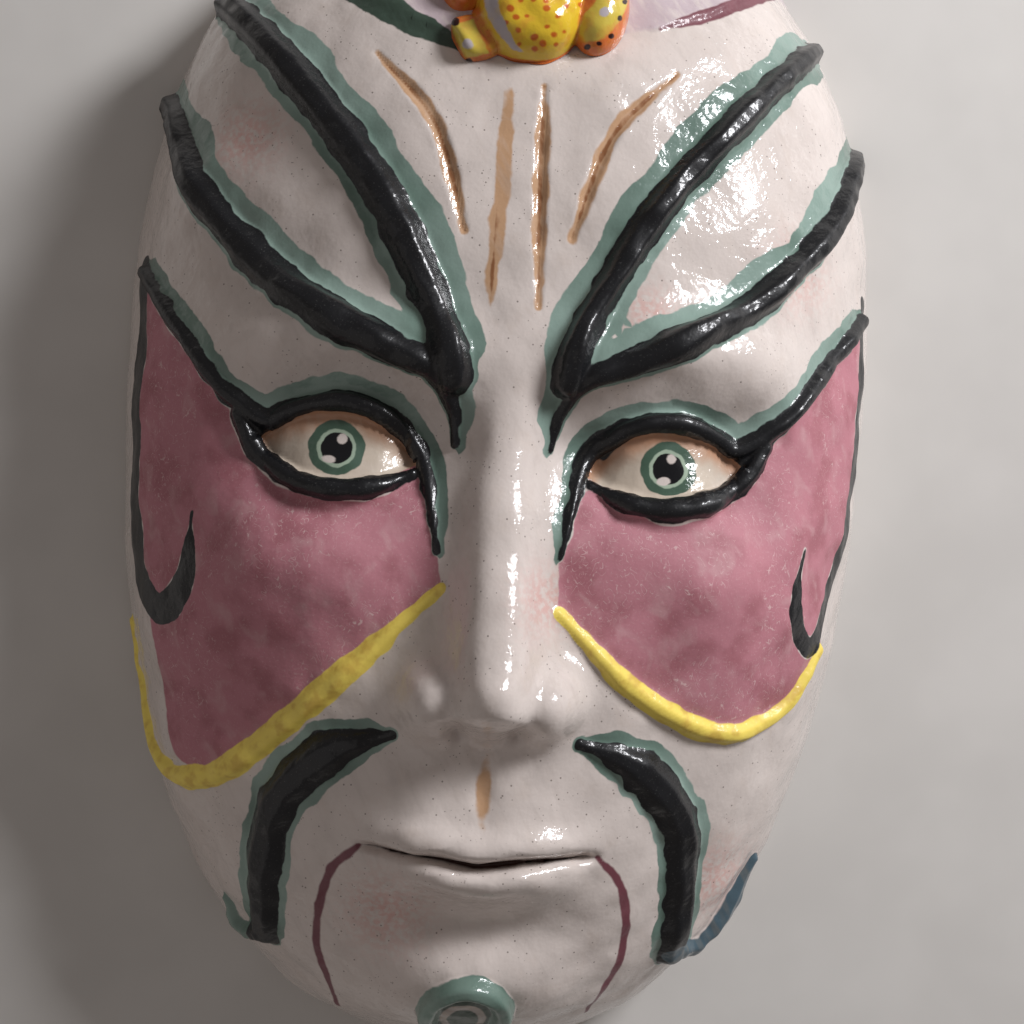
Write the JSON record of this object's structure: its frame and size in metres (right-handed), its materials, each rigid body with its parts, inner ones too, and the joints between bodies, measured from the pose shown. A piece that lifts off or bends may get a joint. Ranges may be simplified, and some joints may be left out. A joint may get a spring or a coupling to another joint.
{
  "type": "chinese opera mask",
  "caption": "Hollow ceramic opera mask, a calm painted face with raised brow, eye, cheek and moustache coils and a small frog on its forehead; it lies face up on its flat back rim.",
  "frame": {"origin": "under the middle of the mask, at the level of its flat back rim, on which it lies face up", "axes": "+Z out of the face, +Y towards the top of the head, +X to the viewer's right"},
  "size_m": [0.1874, 0.29, 0.0805],
  "materials": {
    "glazed_clay": "off-white clay painted black, celadon green, dusty rose, yellow and tan under a clear uneven gloss glaze; bare matt clay inside",
    "frog_glaze": "yellow and orange underglaze with red-brown spots under a clear gloss glaze"
  },
  "bodies": {
    "root": {"mask": "glazed_clay", "frog": "frog_glaze"}
  },
  "joints": []
}
